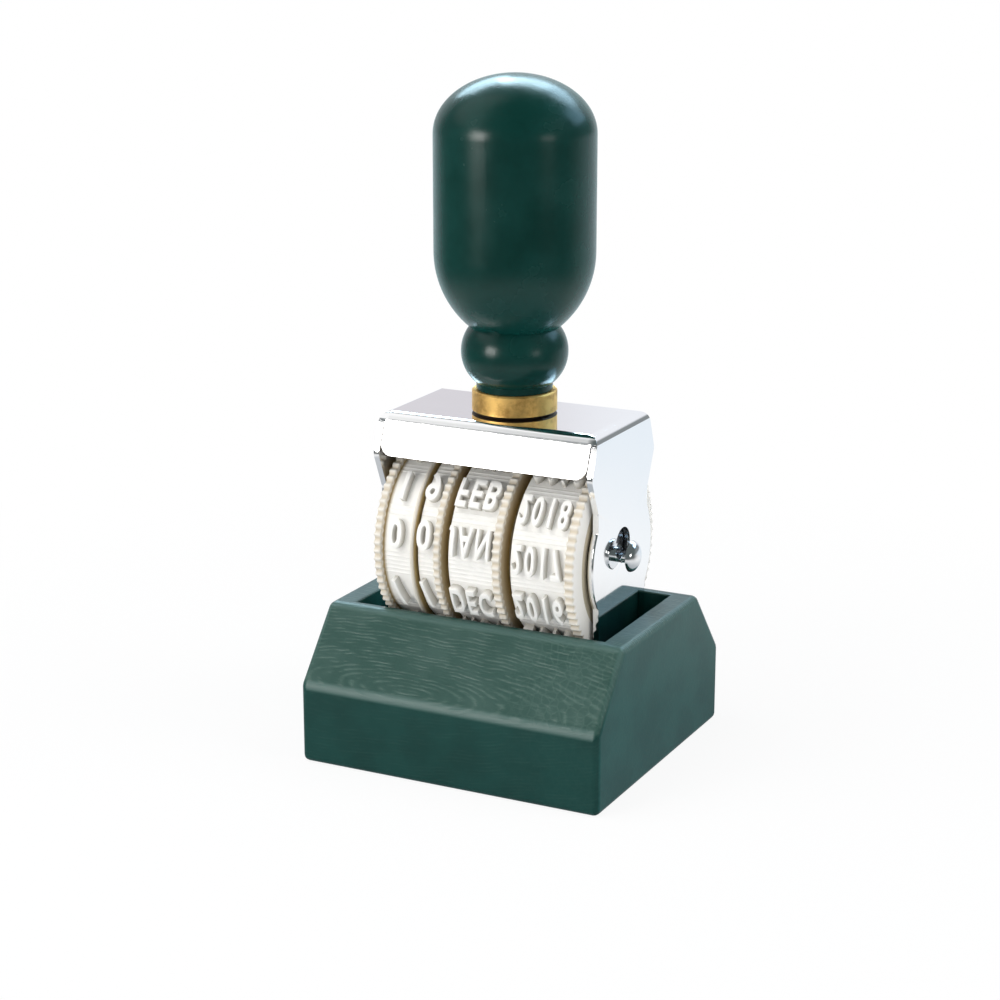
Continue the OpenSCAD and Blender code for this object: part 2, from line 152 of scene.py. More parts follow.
world = bpy.data.worlds.new("room")
world.use_nodes = True
scene.world = world
room = world.node_tree
room.nodes.clear()
to_camera, to_mirror = seen_and_mirrored(room)
looking = add_node(room, "ShaderNodeTexCoord").outputs["Generated"]
across_back = facing_share(room, looking, ROOM_ACROSS_SIDE, ROOM_ACROSS_REACH)
back_share = facing_share(room, looking, ROOM_BACK_SIDE, ROOM_BACK_REACH)
mirrored = mix_colours(room, across_back, ROOM_BACK_RIGHT, ROOM_BACK)
mirrored = mix_colours(room, back_share, ROOM_LOW, mirrored)
for axis, reach, colour in ROOM_WALLS.values():
    mirrored = mix_colours(room, facing_share(room, looking, axis, reach), mirrored, colour)
ambient = add_node(room, "ShaderNodeBackground", {"Color": ROOM_AMBIENT_COLOUR, "Strength": ROOM_AMBIENT})
mirror_glow = add_node(room, "ShaderNodeBackground", {"Color": mirrored, "Strength": 1})
white = add_node(room, "ShaderNodeBackground", {"Color": WHITE, "Strength": 1})
lit_or_mirrored = add_node(room, "ShaderNodeMixShader", {0: to_mirror, 1: ambient.outputs[0],
                                                         2: mirror_glow.outputs[0]})
shown = add_node(room, "ShaderNodeMixShader", {0: to_camera, 1: lit_or_mirrored.outputs[0],
                                               2: white.outputs[0]})
add_node(room, "ShaderNodeOutputWorld", {"Surface": shown.outputs[0]})


# Lamps: a large soft panel over the front left and another to the right, a row of cooler ones
# behind, which draw the arc on the dome, and low ones in front and on the right for its spots.
# Each has its azimuth and elevation in degrees, its size, its power in watts and its colour.
LAMP_REACH = 0.62
LAMP_AIM = Vector((0, 0, 0.045))
LAMPS = {
    "lamp_over": (-45, 58, (0.50, 0.40), 2.1, (1, 0.985, 0.96)),
    "lamp_side": (100, 32, (0.40, 0.40), 1.6, (1, 0.98, 0.96)),
    "lamp_back_left": (-137, 37, (0.26, 0.22), 1.6, (0.60, 0.86, 1)),
    "lamp_back": (-160, 44, (0.24, 0.24), 1.9, (0.60, 0.86, 1)),
    "lamp_back_right": (172, 42, (0.26, 0.22), 1.4, (0.52, 0.80, 1)),
    "lamp_back_far_right": (140, 32, (0.32, 0.26), 0.9, (0.44, 0.74, 1)),
    "lamp_front_left": (-27, 11, (0.22, 0.24), 1.2, (1, 0.97, 0.94)),
    "lamp_front_glint": (-25, 12, (0.26, 0.16), 0.8, (1, 0.97, 0.94)),
    "lamp_right": (73, 8, (0.18, 0.12), 0.25, (1, 0.97, 0.94)),
}
LAMPS_UNMIRRORED = {"lamp_over", "lamp_side"}
LAMPS_MIRRORED_ONLY = {"lamp_back_left", "lamp_back", "lamp_back_right", "lamp_back_far_right",
                       "lamp_front_glint", "lamp_right"}
for name, (azimuth, elevation, size, watts, colour) in LAMPS.items():
    lamp_data = bpy.data.lights.new(name, "AREA")
    lamp_data.shape = "RECTANGLE"
    lamp_data.size, lamp_data.size_y = size
    lamp_data.energy = watts
    lamp_data.color = colour
    lamp = bpy.data.objects.new(name, lamp_data)
    scene.collection.objects.link(lamp)
    aim(lamp, LAMP_AIM, towards(azimuth, elevation), LAMP_REACH)
    lamp.visible_glossy = name not in LAMPS_UNMIRRORED
    lamp.visible_diffuse = name not in LAMPS_MIRRORED_ONLY


# Floor: a plain white sheet that keeps a faint shadow near the stand. Mirrored, it shows a painted
# bluish shadow behind the object and a painted grey shadow close to the stand, and is dark farther
# out in front and at the sides.
FLOOR_HALF = 1.5
FLOOR_COLOUR = (0.93, 0.94, 0.955, 1)
FLOOR_GLOW = 0.9
FLOOR_SHADE_REACH = (0.045, 0.15)
# Painted bluish shadow behind the object, in what the floor shows to mirrored rays.
FLOOR_BACK_SHADOW = (0.82, 0.885, 0.95, 1)
FLOOR_BACK_SHADOW_REACH = (-0.12, 0.0)
FLOOR_DARK = (0.13, 0.14, 0.14, 1)
FLOOR_DARK_SIDE = towards(10, 0)
FLOOR_DARK_WAY = (-0.75, 0.0)
FLOOR_DARK_REACH = (0.05, 0.20)
# Painted grey shadow close to the stand, in what the floor shows to mirrored rays.
FLOOR_NEAR_SHADOW = (0.42, 0.45, 0.48, 1)
FLOOR_NEAR_SHADOW_REACH = (0.03, 0.10)


def object_place(tree):
    """The socket of a point's place on its object."""
    return add_node(tree, "ShaderNodeTexCoord").outputs["Object"]


floor_shape = bmesh.new()
bmesh.ops.create_grid(floor_shape, x_segments=1, y_segments=1, size=FLOOR_HALF)
floor_mesh = bpy.data.meshes.new("floor")
floor_shape.to_mesh(floor_mesh)
floor_shape.free()
floor = bpy.data.objects.new("floor", floor_mesh)
scene.collection.objects.link(floor)
floor_paper = bpy.data.materials.new("floor_paper")
floor_paper.use_nodes = True
paper = floor_paper.node_tree
paper.nodes.clear()
to_camera, to_mirror = seen_and_mirrored(paper)
place = object_place(paper)
out = add_node(paper, "ShaderNodeVectorMath", {0: place}, operation="LENGTH").outputs["Value"]
way = add_node(paper, "ShaderNodeVectorMath", {0: place}, operation="NORMALIZE").outputs["Vector"]
forward = facing_share(paper, place, towards(CAMERA_AZIMUTH, 0), FLOOR_BACK_SHADOW_REACH)
dark_share = math_node(paper, "MULTIPLY", facing_share(paper, way, FLOOR_DARK_SIDE, FLOOR_DARK_WAY),
                       map_range(paper, out, *FLOOR_DARK_REACH))
# Mirrored floor colour: painted bluish shadow behind, dark far in front, painted grey shadow near the stand.
sheet = mix_colours(paper, forward, FLOOR_BACK_SHADOW, WHITE)
sheet = mix_colours(paper, dark_share, sheet, FLOOR_DARK)
sheet = mix_colours(paper, map_range(paper, out, *FLOOR_NEAR_SHADOW_REACH), FLOOR_NEAR_SHADOW, sheet)
matt = add_node(paper, "ShaderNodeBsdfDiffuse", {"Color": FLOOR_COLOUR})
glow = add_node(paper, "ShaderNodeEmission", {"Color": WHITE, "Strength": 1})
mirrored_sheet = add_node(paper, "ShaderNodeEmission", {"Color": sheet, "Strength": 1})
glow_share = math_node(paper, "MULTIPLY", to_camera,
                       map_range(paper, out, *FLOOR_SHADE_REACH, FLOOR_GLOW, 1))
whitened = add_node(paper, "ShaderNodeMixShader", {0: glow_share, 1: matt.outputs[0], 2: glow.outputs[0]})
papered = add_node(paper, "ShaderNodeMixShader", {0: to_mirror, 1: whitened.outputs[0],
                                                  2: mirrored_sheet.outputs[0]})
add_node(paper, "ShaderNodeOutputMaterial", {"Surface": papered.outputs[0]})
floor_mesh.materials.append(floor_paper)


# Stand: a block of wood sawn to a sloped profile, with a blind pocket cut into its top. Its
# edges are eased by hand, and it is brushed with green paint that lets the grain show, most on
# the sawn slopes and less on the top. The slopes, and the top in part, are painted paler: partly
# rough sawn paint and partly a painted sheen of the overhead light. The end faces are painted
# paler as painted light from the right, and the top edges lighter, partly as wear and partly as a
# painted highlight.
_, STAND_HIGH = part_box("stand_block")
STAND_WALL = 0.0111
STAND_SLOPE_IN = 0.0078
STAND_EASED = 0.0009
POCKET_HALF_WIDTH = 0.0184
POCKET_HALF_DEPTH = 0.01089
POCKET_DEEP = 0.00545
POCKET_EASED = 0.0003
POCKET_INSET = 0.0005
SMOOTH_BELOW = math.radians(32)
LEVEL_ABOVE = 0.99
JUST_INSIDE = 0.99
GRAIN_SPACING = 0.00046
GRAIN_WAVER = 0.0016
GRAIN_SHARPNESS = 1.8
GRAIN_BREAKS = (0.40, 0.68)
FIBRE_SCALE = (160, 1300, 1300)
ACROSS_GRAIN = (0, 1, 1)
HEARTWOOD_AT = (-0.006, -0.0195, 0.0122)
HEARTWOOD_TILT = (0, -0.133, -0.162)
SLOPE_LEAN = (0.2, 0.55)
TOP_LEAN = (0.75, 0.97)
TOP_SHARE = 0.45
END_LEAN = (0.8, 0.97)
LEAST_TEXTURE = 0.12
CRACK_WIDTH = 0.16
CRACK_REACH = (0.004, 0.015)
CRACK_SHARE = 0.35
TEXTURE_SHARE = 0.5
WORN_AND_HIGHLIGHT_SHARE = 0.6
PATCH_RANGE = (0.35, 0.65)
PAINT = ((0.0038, 0.042, 0.035, 1), (0.0052, 0.051, 0.043, 1))
# Painted light: paler paint on the end faces for the light that falls on them from the right.
END_PAINT_LIT = ((0.007, 0.066, 0.060, 1), (0.011, 0.082, 0.074, 1))
# Slope paint: partly rough sawn paint, partly a painted sheen of the overhead light. The top gets part of it.
SLOPE_PAINT_AND_SHEEN = ((0.024, 0.070, 0.057, 1), (0.038, 0.088, 0.074, 1))
PAINT_ON_TEXTURE = (0.090, 0.160, 0.135, 1)
# Lighter paint on the eased top edges: partly worn paint, partly a painted highlight.
PAINT_WORN_AND_HIGHLIT = (0.085, 0.155, 0.140, 1)


def add_piece(name, shape, body, material, stands_for=()):
    """Makes a bmesh a finished piece: smooth, riding on its body and standing for its CAD nodes."""
    mesh = bpy.data.meshes.new(name)
    shape.to_mesh(mesh)
    shape.free()
    mesh.shade_smooth()
    mesh.set_sharp_from_angle(angle=SMOOTH_BELOW)
    mesh.materials.append(material)
    piece = bpy.data.objects.new(name, mesh)
    scene.collection.objects.link(piece)
    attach(piece, body)
    if stands_for:
        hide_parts(*stands_for)
    return piece


def only(kind, items):
    """The vertices, edges or faces among an operator's results."""
    return [item for item in items if isinstance(item, kind)]


def bevel_edges(shape, edges, width, segments):
    """Rounds edges, and returns the faces of the rounding."""
    return bmesh.ops.bevel(shape, geom=edges, offset=width, segments=segments, profile=0.5,
                           affect="EDGES", clamp_overlap=True, material=-1)["faces"]


def flat_panels(piece):
    """Keeps a piece's large faces flat and lets only its narrow roundings shade smoothly."""
    even = piece.modifiers.new("flat_panels", "WEIGHTED_NORMAL")
    even.keep_sharp = True
    even.weight = 100


def new_group(name, inputs, outputs):
    """A shader node group with named sockets, and its input and output nodes."""
    group = bpy.data.node_groups.new(name, "ShaderNodeTree")
    for socket, kind, value in inputs:
        made = group.interface.new_socket(socket, in_out="INPUT", socket_type="NodeSocket" + kind)
        if value is not None:
            made.default_value = value
    for socket, kind in outputs:
        group.interface.new_socket(socket, in_out="OUTPUT", socket_type="NodeSocket" + kind)
    return group, group.nodes.new("NodeGroupInput"), group.nodes.new("NodeGroupOutput")


def new_material(name, **values):
    """A material with one Principled BSDF, its tree and the shader to link to."""
    material = bpy.data.materials.new(name)
    material.use_nodes = True
    shader = material.node_tree.nodes["Principled BSDF"]
    for socket, value in values.items():
        shader.inputs[socket.replace("_", " ")].default_value = value
    return material, material.node_tree, shader


def noise(tree, place, scale, detail, roughness=0.5):
    """The socket of soft noise at a place, from 0 to 1."""
    return add_node(tree, "ShaderNodeTexNoise", {"Vector": place, "Scale": scale, "Detail": detail,
                                                 "Roughness": roughness}).outputs["Fac"]


def attribute(tree, name):
    """The socket of a number kept at a mesh's vertices."""
    return add_node(tree, "ShaderNodeAttribute", attribute_name=name).outputs["Fac"]


def bump(tree, shader, height, strength, distance):
    """Roughens a shader's surface by a height."""
    bumped = add_node(tree, "ShaderNodeBump", {"Height": height, "Strength": strength, "Distance": distance})
    tree.links.new(bumped.outputs[0], shader.inputs["Normal"])


grain, grain_in, grain_out = new_group(
    "grain_under_paint",
    [("Vector", "Vector", None), ("Spacing", "Float", GRAIN_SPACING), ("Waver", "Float", GRAIN_WAVER)],
    [("Lines", "Float"), ("Patches", "Float")])
heartwood = grain_in.outputs["Vector"]
across = add_node(grain, "ShaderNodeVectorMath", {0: heartwood, 1: ACROSS_GRAIN}, operation="MULTIPLY")
from_heart = add_node(grain, "ShaderNodeVectorMath", {0: across.outputs[0]}, operation="LENGTH")
waver = math_node(grain, "MULTIPLY", noise(grain, heartwood, scale=120, detail=3), grain_in.outputs["Waver"])
ring = math_node(grain, "DIVIDE", math_node(grain, "ADD", from_heart.outputs["Value"], waver),
                 grain_in.outputs["Spacing"])
wave = math_node(grain, "SINE", math_node(grain, "MULTIPLY", ring, 2 * math.pi))
ridge = math_node(grain, "POWER", math_node(grain, "MULTIPLY_ADD", wave, 0.5, 0.5), GRAIN_SHARPNESS)
stretch = add_node(grain, "ShaderNodeMapping", {"Vector": heartwood, "Scale": FIBRE_SCALE})
fibres = noise(grain, stretch.outputs[0], scale=1, detail=4, roughness=0.6)
broken = math_node(grain, "MULTIPLY", ridge, map_range(grain, fibres, *GRAIN_BREAKS))
grain.links.new(broken, grain_out.inputs["Lines"])
grain.links.new(noise(grain, heartwood, scale=150, detail=4), grain_out.inputs["Patches"])

stand_paint, tree, shader = new_material("stand_paint", Roughness=0.36, Specular_IOR_Level=0.22)
place = object_place(tree)
heart = add_node(tree, "ShaderNodeMapping", {"Vector": place, "Location": HEARTWOOD_AT,
                                             "Rotation": HEARTWOOD_TILT}, vector_type="TEXTURE")
grained = add_node(tree, "ShaderNodeGroup", {"Vector": heart.outputs[0]}, node_tree=grain).outputs
normal = add_node(tree, "ShaderNodeNewGeometry").outputs["Normal"]
facing = add_node(tree, "ShaderNodeSeparateXYZ", {0: normal}).outputs
sloped = math_node(tree, "MULTIPLY", map_range(tree, facing["Z"], *SLOPE_LEAN),
                   map_range(tree, facing["Z"], *TOP_LEAN, 1, TOP_SHARE))
on_end = map_range(tree, math_node(tree, "ABSOLUTE", facing["X"]), *END_LEAN)
cracks = add_node(tree, "ShaderNodeTexVoronoi", {"Vector": place, "Scale": 850, "Randomness": 1},
                  feature="DISTANCE_TO_EDGE")
to_right = add_node(tree, "ShaderNodeSeparateXYZ", {0: place}).outputs["X"]
crack_lines = math_node(tree, "MULTIPLY", map_range(tree, cracks.outputs["Distance"], 0, CRACK_WIDTH, 1, 0),
                        map_range(tree, to_right, *CRACK_REACH, 0, CRACK_SHARE))
texture = math_node(tree, "MULTIPLY", math_node(tree, "ADD", grained["Lines"], crack_lines),
                    map_range(tree, sloped, 0, 1, LEAST_TEXTURE, 1))
patchy = map_range(tree, grained["Patches"], *PATCH_RANGE)
paint = mix_colours(tree, patchy, *PAINT)
# Painted light on the end faces.
paint = mix_colours(tree, on_end, paint, mix_colours(tree, patchy, *END_PAINT_LIT))
# Slopes, and the top in part: paler paint that is partly a painted sheen.
paint = mix_colours(tree, sloped, paint, mix_colours(tree, patchy, *SLOPE_PAINT_AND_SHEEN))
paint = mix_colours(tree, math_node(tree, "MULTIPLY", texture, TEXTURE_SHARE), paint, PAINT_ON_TEXTURE)
# Eased top edges made lighter: partly wear, partly a painted highlight.
worn_and_highlight = math_node(tree, "MULTIPLY", attribute(tree, "eased_edge"), WORN_AND_HIGHLIGHT_SHARE)
tree.links.new(mix_colours(tree, worn_and_highlight, paint, PAINT_WORN_AND_HIGHLIT), shader.inputs["Base Color"])
bump(tree, shader, texture, strength=0.7, distance=0.00006)

shape = bmesh.new()
half_width, half_depth, top = STAND_HIGH.x, STAND_HIGH.y, STAND_HIGH.z
top_half = half_depth - STAND_SLOPE_IN
profile = [(-half_depth, 0), (half_depth, 0), (half_depth, STAND_WALL), (top_half, top), (-top_half, top),
           (-half_depth, STAND_WALL)]
end_face = shape.faces.new([shape.verts.new((-half_width, y, z)) for y, z in profile])
grown = bmesh.ops.extrude_face_region(shape, geom=[end_face])["geom"]
bmesh.ops.translate(shape, vec=(2 * half_width, 0, 0), verts=only(bmesh.types.BMVert, grown))
bmesh.ops.recalc_face_normals(shape, faces=shape.faces)
eased = shape.verts.layers.float.new("eased_edge")
rounding = set(bevel_edges(shape, shape.edges[:], STAND_EASED, segments=4))
# Marks the eased edges on the top for lighter paint: partly wear, partly a painted highlight.
for vert in shape.verts:
    at_end = abs(vert.co.x) > half_width - STAND_EASED * JUST_INSIDE and vert.co.z < top - STAND_EASED
    edge_lightened = vert.co.z > STAND_WALL / 2 and not at_end
    vert[eased] = float(edge_lightened and all(face in rounding for face in vert.link_faces))
level_faces = [face for face in shape.faces if face.normal.z > LEVEL_ABOVE]
top_face = max(level_faces, key=lambda face: face.calc_area())
bmesh.ops.inset_region(shape, faces=[top_face], thickness=POCKET_INSET, use_even_offset=True)
for vert in top_face.verts:
    vert.co.x = math.copysign(POCKET_HALF_WIDTH, vert.co.x)
    vert.co.y = math.copysign(POCKET_HALF_DEPTH, vert.co.y)
pocket_rim = top_face.edges[:]
sunk = bmesh.ops.extrude_face_region(shape, geom=[top_face])["geom"]
bmesh.ops.translate(shape, vec=(0, 0, -POCKET_DEEP), verts=only(bmesh.types.BMVert, sunk))
bmesh.ops.delete(shape, geom=[top_face], context="FACES_ONLY")
bevel_edges(shape, pocket_rim, POCKET_EASED, segments=3)
bmesh.ops.recalc_face_normals(shape, faces=shape.faces)
flat_panels(add_piece("stand", shape, "stand", stand_paint, ["stand_block"]))


# Frame: one blank of thin steel, folded into a top with two skirts and two side plates and
# plated to a mirror. Its cut edges are eased by the polishing before the plating.
FRAME_LOW, FRAME_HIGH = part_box("frame_saddle")
AXLE_Z = next(joint["pos_m"][2] for joint in frame["joints"] if joint["name"] == "month_turn")
SHEET = 0.0008
SHEET_EASED = 0.00008
BEND = 0.0015
BEND_STEPS = 12
FRAME_HALF_DEPTH = 0.0101
SKIRT_LEAN = math.radians(20)
SKIRT_H = 0.0055
SKIRT_CORNER = 0.0016
SEAM = 0.0002
WAIST_HALF = 0.0079
WAIST_RISE = 0.0075
LOBE_R = 0.0094
PLATE_FOOT_HALF = 0.0073
PLATE_CORNER = 0.0015
NECK_HOLE_R = 0.00105
ENTRY_R = 0.00235
ENTRY_RISE = 0.0015
SHARP_EDGE = math.radians(40)
SAME_PLACE = 1e-7
PLATING = ((0.96, 0.965, 0.97, 1), (0.985, 0.985, 0.985, 1))
PLATING_ROUGHNESS = (0.03, 0.09)


def arc_points(centre, radii, first, last, steps):
    """Points on an arc of an ellipse, from one angle to another, in radians."""
    x, y = centre
    wide, high = radii
    angles = [first + (last - first) * step / steps for step in range(steps + 1)]
    return [(x + wide * math.cos(angle), y + high * math.sin(angle)) for angle in angles]


def eased_corner(before, at, after, radius, steps):
    """Points on the arc that rounds the corner between two straight runs of an outline."""
    at = Vector(at)
    first = (Vector(before) - at).normalized()
    last = (Vector(after) - at).normalized()
    half = first.angle(last) / 2
    centre = at + (first + last).normalized() * radius / math.sin(half)
    start = at + first * radius / math.tan(half) - centre
    end = at + last * radius / math.tan(half) - centre
    angle = math.atan2(start.y, start.x)
    turn = math.atan2(start.x * end.y - start.y * end.x, start.dot(end))
    return arc_points(centre, (radius, radius), angle, angle + turn, steps)


def loop_edges(shape, points):
    """A closed ring of edges through points."""
    verts = [shape.verts.new(point) for point in points]
    return [shape.edges.new(pair) for pair in zip(verts, verts[1:] + verts[:1])]


plating, tree, shader = new_material("mirror_plating", Metallic=1.0)
haze = noise(tree, object_place(tree), scale=260, detail=3)
tree.links.new(mix_colours(tree, haze, *PLATING), shader.inputs["Base Color"])
tree.links.new(map_range(tree, haze, 0, 1, *PLATING_ROUGHNESS), shader.inputs["Roughness"])

half_w, frame_top = FRAME_HIGH.x, FRAME_HIGH.z
skirt_low = frame_top - SKIRT_H
skirt_half = half_w - SHEET - SEAM
bend_z = frame_top - BEND
bend_y = FRAME_HALF_DEPTH - (BEND + math.sin(SKIRT_LEAN) * (bend_z - skirt_low)) / math.cos(SKIRT_LEAN)
bend_angles = [0, SKIRT_LEAN / 2]
for step in range(BEND_STEPS + 1):
    bend_angles.append(SKIRT_LEAN + (math.pi / 2 - SKIRT_LEAN) * step / BEND_STEPS)


def skirt_y(z):
    """Half depth of the frame at a height: straight down the leaning skirt, round at the bend."""
    rise = z - bend_z
    if rise > BEND * math.sin(SKIRT_LEAN):
        return bend_y + math.sqrt(max(0.0, BEND ** 2 - rise ** 2))
    return FRAME_HALF_DEPTH - (z - skirt_low) * math.tan(SKIRT_LEAN)


waist = (WAIST_HALF, AXLE_Z + WAIST_RISE)
skirt_tip = (FRAME_HALF_DEPTH, skirt_low)
taper = math.atan2(WAIST_HALF - PLATE_FOOT_HALF, AXLE_Z - FRAME_LOW.z)
lobe_top = math.acos(WAIST_HALF / LOBE_R)
lobe_low = -taper - math.acos(WAIST_HALF * math.cos(taper) / LOBE_R)
foot_y = PLATE_FOOT_HALF - PLATE_CORNER * (1 - math.sin(taper)) / math.cos(taper)
front_edge = [(skirt_y(bend_z), bend_z)]
front_edge += eased_corner((skirt_y(bend_z), bend_z), skirt_tip, waist, PLATE_CORNER, steps=8)
front_edge += eased_corner(skirt_tip, waist, (WAIST_HALF, AXLE_Z), PLATE_CORNER, steps=6)
front_edge += arc_points((0, AXLE_Z), (LOBE_R, LOBE_R), lobe_top, lobe_low, steps=24)
front_edge += arc_points((foot_y, FRAME_LOW.z + PLATE_CORNER), (PLATE_CORNER, PLATE_CORNER), -taper,
                         -math.pi / 2, steps=8)
keyhole_spread = math.acos((ENTRY_RISE ** 2 + ENTRY_R ** 2 - NECK_HOLE_R ** 2) / (2 * ENTRY_RISE * ENTRY_R))
neck_spread = math.acos((ENTRY_RISE ** 2 + NECK_HOLE_R ** 2 - ENTRY_R ** 2) / (2 * ENTRY_RISE * NECK_HOLE_R))
keyhole = arc_points((0, AXLE_Z + ENTRY_RISE), (ENTRY_R, ENTRY_R), -math.pi / 2 + keyhole_spread,
                     1.5 * math.pi - keyhole_spread, steps=40)
keyhole += arc_points((0, AXLE_Z), (NECK_HOLE_R, NECK_HOLE_R), math.pi / 2 + neck_spread,
                      2.5 * math.pi - neck_spread, steps=14)[1:-1]

shape = bmesh.new()
for side in (-1, 1):
    outline = [(side * half_w, -y, z) for y, z in front_edge]
    outline += [(side * half_w, y, z) for y, z in front_edge[::-1]]
    edges = loop_edges(shape, outline) + loop_edges(shape, [(side * half_w, y, z) for y, z in keyhole])
    bmesh.ops.triangle_fill(shape, use_beauty=True, use_dissolve=False, edges=edges)
    rows = []
    for angle in bend_angles:
        x = side * (half_w - BEND + BEND * math.cos(angle))
        z = bend_z + BEND * math.sin(angle)
        rows.append([shape.verts.new((x, -skirt_y(z), z)), shape.verts.new((x, skirt_y(z), z))])
    for low, high in zip(rows, rows[1:]):
        shape.faces.new((low[0], low[1], high[1], high[0]))
    rows = []
    for angle in bend_angles:
        z = bend_z + BEND * math.sin(angle)
        end = skirt_half if angle < SKIRT_LEAN else half_w - BEND + BEND * math.cos(angle)
        columns = (-end, BEND - half_w, half_w - BEND, end)
        rows.append([shape.verts.new((x, side * skirt_y(z), z)) for x in columns])
    for low, high in zip(rows, rows[1:]):
        for k in range(3):
            shape.faces.new((low[k], low[k + 1], high[k + 1], high[k]))
    corner = arc_points((skirt_half - SKIRT_CORNER, skirt_low + SKIRT_CORNER), (SKIRT_CORNER, SKIRT_CORNER),
                        0, -math.pi / 2, steps=8)
    apron = [shape.verts.new((x, side * skirt_y(z), z)) for x, z in corner]
    apron += [shape.verts.new((-x, side * skirt_y(z), z)) for x, z in corner[::-1]]
    shape.faces.new(rows[0] + apron)
flat = [(x * (half_w - BEND), y * bend_y, frame_top) for x, y in ((-1, -1), (1, -1), (1, 1), (-1, 1))]
shape.faces.new([shape.verts.new(point) for point in flat])
bmesh.ops.remove_doubles(shape, verts=shape.verts, dist=SAME_PLACE)
bmesh.ops.recalc_face_normals(shape, faces=shape.faces)
if max(shape.faces, key=lambda face: face.calc_center_median().z).normal.z < 0:
    bmesh.ops.reverse_faces(shape, faces=shape.faces)
bmesh.ops.solidify(shape, geom=shape.faces, thickness=SHEET)
bmesh.ops.recalc_face_normals(shape, faces=shape.faces)
cut_edges = [edge for edge in shape.edges if edge.calc_face_angle(0) > SHARP_EDGE]
bevel_edges(shape, cut_edges, SHEET_EASED, segments=2)
flat_panels(add_piece("frame", shape, "stamp", plating, ["frame_saddle"]))


# Axle: a plated pin with a thin neck in each side plate's keyhole and a domed head outside
# it, so that it can be lifted and drawn out sideways.
_, AXLE_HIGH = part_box("wheel_axle")
AXLE_R = 0.0015
AXLE_NECK_R = 0.001
HEAD_R = 0.0021
HEAD_T = 0.0013
HEAD_START = 0.1
SHAFT_HALF = 0.01515
HEAD_EASED = 0.00012
LATHE_STEPS = 128
PIN_PLATING = ((0.78, 0.80, 0.82, 1), (0.92, 0.93, 0.94, 1))
PIN_ROUGHNESS = (0.06, 0.16)


def turned(profile, along=Matrix.Identity(4)):
    """A solid turned on a lathe: a profile of (radius, height) spun round its axis, then placed."""
    shape = bmesh.new()
    verts = [shape.verts.new((radius, 0, height)) for radius, height in profile]
    edges = [shape.edges.new(pair) for pair in zip(verts, verts[1:])]
    bmesh.ops.spin(shape, geom=verts + edges, cent=(0, 0, 0), axis=(0, 0, 1), angle=2 * math.pi,
                   steps=LATHE_STEPS, use_merge=True)
    bmesh.ops.remove_doubles(shape, verts=shape.verts, dist=SAME_PLACE)
    bmesh.ops.recalc_face_normals(shape, faces=shape.faces)
    bmesh.ops.transform(shape, matrix=along, verts=shape.verts)
    return shape


pin_plating, tree, shader = new_material("pin_plating", Metallic=1.0)
haze = noise(tree, object_place(tree), scale=900, detail=2)
tree.links.new(mix_colours(tree, haze, *PIN_PLATING), shader.inputs["Base Color"])
tree.links.new(map_range(tree, haze, 0, 1, *PIN_ROUGHNESS), shader.inputs["Roughness"])

head_at = AXLE_HIGH.x - HEAD_T
half_pin = [(AXLE_R, 0), (AXLE_R, SHAFT_HALF), (AXLE_NECK_R, SHAFT_HALF), (AXLE_NECK_R, head_at),
            (HEAD_R - HEAD_EASED, head_at), (HEAD_R, head_at + HEAD_EASED)]
half_pin += arc_points((0, head_at + HEAD_EASED), (HEAD_R, HEAD_T - HEAD_EASED), HEAD_START, math.pi / 2,
                       steps=12)
profile = [(radius, -height) for radius, height in half_pin[:0:-1]] + half_pin
lying = Matrix.Translation((0, 0, AXLE_Z)) @ Matrix.Rotation(math.pi / 2, 4, "Y")
add_piece("axle_pin", turned(profile, lying), "stamp", pin_plating, ["wheel_axle"])


# Cores, spacers and fixings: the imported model's own parts, almost hidden between the wheels
# and under the top, moulded in matt plastic or made of dark oxidised steel.
CORES = ["day_tens_core", "day_units_core", "month_core", "year_core"]
FIXINGS = ["spacer_left", "spacer_tens_units", "spacer_units_month", "spacer_month_year", "spacer_right",
           "wheel_spring", "handle_screw", "screw_washer"]
CORE_PLASTIC = ((0.52, 0.45, 0.32, 1), (0.60, 0.53, 0.39, 1))
STEEL_ROUGHNESS = (0.2, 0.4)

core_plastic, tree, shader = new_material("core_plastic", Roughness=0.6, Specular_IOR_Level=0.3)
flow = noise(tree, object_place(tree), scale=180, detail=2)
tree.links.new(mix_colours(tree, flow, *CORE_PLASTIC), shader.inputs["Base Color"])
dark_steel, tree, shader = new_material("dark_steel", Metallic=1.0, Base_Color=(0.12, 0.12, 0.13, 1))
rolled = noise(tree, object_place(tree), scale=600, detail=3)
tree.links.new(map_range(tree, rolled, 0, 1, *STEEL_ROUGHNESS), shader.inputs["Roughness"])
for names, material in ((CORES, core_plastic), (FIXINGS, dark_steel)):
    for name in names:
        frame["nodes"][name].material_slots[0].material = material


# Date wheels: rubber bands moulded in one with a toothed rim for the thumb and fine mould
# lines between the dates, and stretched over the cores. The rubber is ivory with a cream tint on
# the rims, and painted shade darkens it to tan where it lies deep: in the notches, at the foot of a
# rim, in the grooves, in the bore and on the side faces.
BAND_STEPS = 1008
BAND_R = 0.0123
BAND_BORE = 0.01022
RIM_R = 0.0132
TOOTH_COUNT = 72
TOOTH_H = 0.0003
TOOTH_NOTCH = 0.0003
ROUNDED = 0.00012
LEFT_RIM_DROP = 0.0006
RIGHT_RIM_DROP = 0.0005
WALL_DROP = 0.0006
EDGE_DROP = 0.0008
GROOVE_FADE = 0.0005
FOOT_FADE = 0.0002
ROW_COUNT = 12
JOINT_GAP = 8
ROW_PITCH = math.radians((360 - JOINT_GAP) / ROW_COUNT)
MOULD_LINE_H = 0.00009
MOULD_LINE_HALF = 0.00013
MOULD_LINE_STEP = 0.0006
LINES_BETWEEN = (-1, 0, 1)
LINES_AT_JOINT = (-2.5, -1.5, -0.5, 0.5, 1.5, 2.5)
